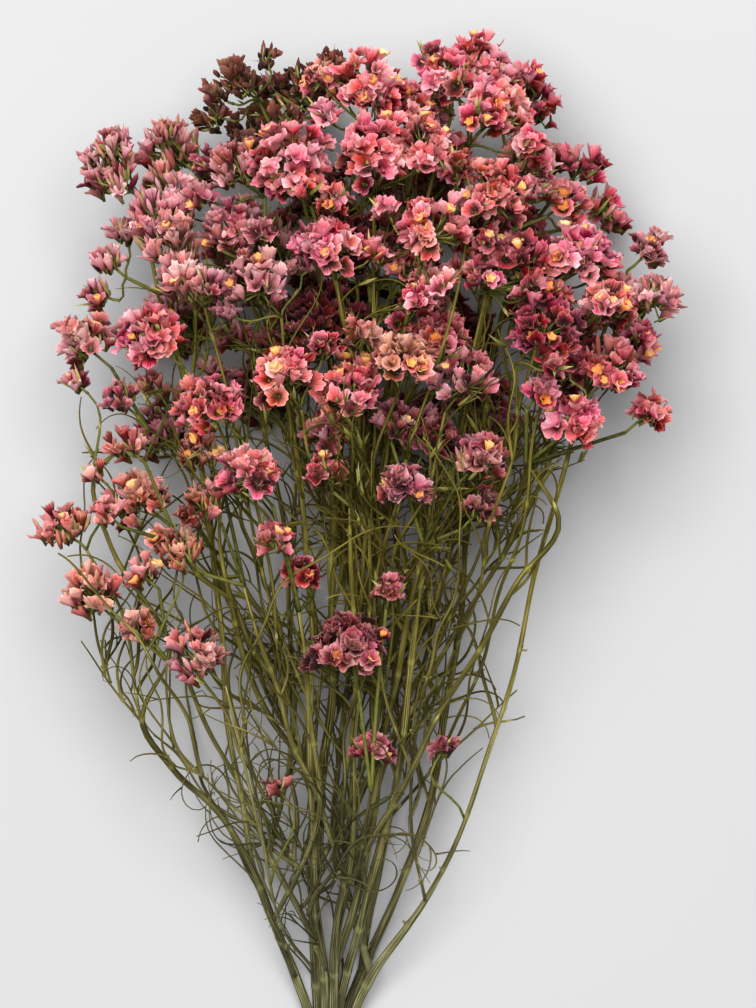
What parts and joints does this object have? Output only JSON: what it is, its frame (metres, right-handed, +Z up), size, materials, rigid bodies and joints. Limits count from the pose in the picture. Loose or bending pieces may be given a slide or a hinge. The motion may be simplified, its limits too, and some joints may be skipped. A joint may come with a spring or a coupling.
{
  "type": "dried flower bunch",
  "caption": "Bunch of dried statice lying on a surface: bare forked green stems gathered at one end, papery coral, pink and dusky flower clusters at the other.",
  "frame": {"origin": "on the surface that the bunch lies on, under the middle of its box", "axes": "+Y along the bunch from the cut ends to the flowers, +Z up from the surface, +X across the bunch, to the right as it is seen from above with the flowers away from the viewer"},
  "size_m": [0.2174, 0.429, 0.1239],
  "materials": {
    "stem_green": "matte",
    "floret_coral": "matte",
    "floret_pink": "matte",
    "floret_magenta": "matte",
    "floret_dusky": "matte",
    "floret_maroon": "matte"
  },
  "bodies": {
    "root": {"stem_to_left_tip": "stem_green", "stem_to_left_shoulder": "stem_green", "stem_to_front_crown": "stem_green", "stem_to_right_crown": "stem_green", "stem_to_back_left_crown": "stem_green", "stem_to_top": "stem_green", "stem_to_back_right_crown": "stem_green", "stem_to_right_tip": "stem_green", "spray_top": "floret_pink", "spray_crown": "floret_coral", "spray_crown_middle": "floret_coral", "spray_back_right_crown": "floret_magenta", "spray_back_left_crown": "floret_maroon", "spray_left_tip": "floret_dusky", "spray_left_crown": "floret_dusky", "spray_left_shoulder": "floret_dusky", "spray_front_left_crown": "floret_pink", "spray_front_crown": "floret_pink", "spray_right_crown": "floret_coral", "spray_right_shoulder": "floret_pink", "spray_front_right": "floret_coral", "spray_front_middle": "floret_coral", "spray_front_left": "floret_pink", "spray_left_side": "floret_dusky", "spray_left_buds": "floret_dusky", "spray_front_left_low": "floret_dusky", "spray_heart": "floret_maroon", "spray_right_dark": "floret_magenta", "spray_right_side": "floret_pink", "spray_right_tip": "floret_dusky", "spray_right_low": "floret_pink", "spray_front_right_low": "floret_magenta", "spray_right_hang": "floret_pink", "spray_right_foot": "floret_pink", "spray_middle_low": "floret_coral", "spray_front_bright": "floret_coral", "spray_front_dull": "floret_dusky", "spray_heart_low": "floret_maroon", "spray_band_left": "floret_coral", "spray_band_middle": "floret_coral", "spray_band_far_left": "floret_magenta", "spray_side_bright": "floret_pink", "spray_side_tip": "floret_pink", "spray_chain": "floret_dusky", "spray_front_foot": "floret_pink", "spray_left_low": "floret_dusky", "spray_middle_dark": "floret_dusky", "spray_middle_foot": "floret_magenta", "spray_left_out": "floret_dusky", "spray_left_foot": "floret_pink", "spray_low_front": "floret_magenta", "spray_low_left": "floret_pink", "spray_under_crown": "floret_maroon", "spray_under_right": "floret_magenta", "spray_under_left": "floret_dusky", "spray_under_middle": "floret_maroon", "spray_under_left_low": "floret_dusky", "spray_under_low": "floret_dusky", "spray_under_right_low": "floret_magenta", "spray_under_far_left": "floret_dusky"}
  },
  "joints": []
}
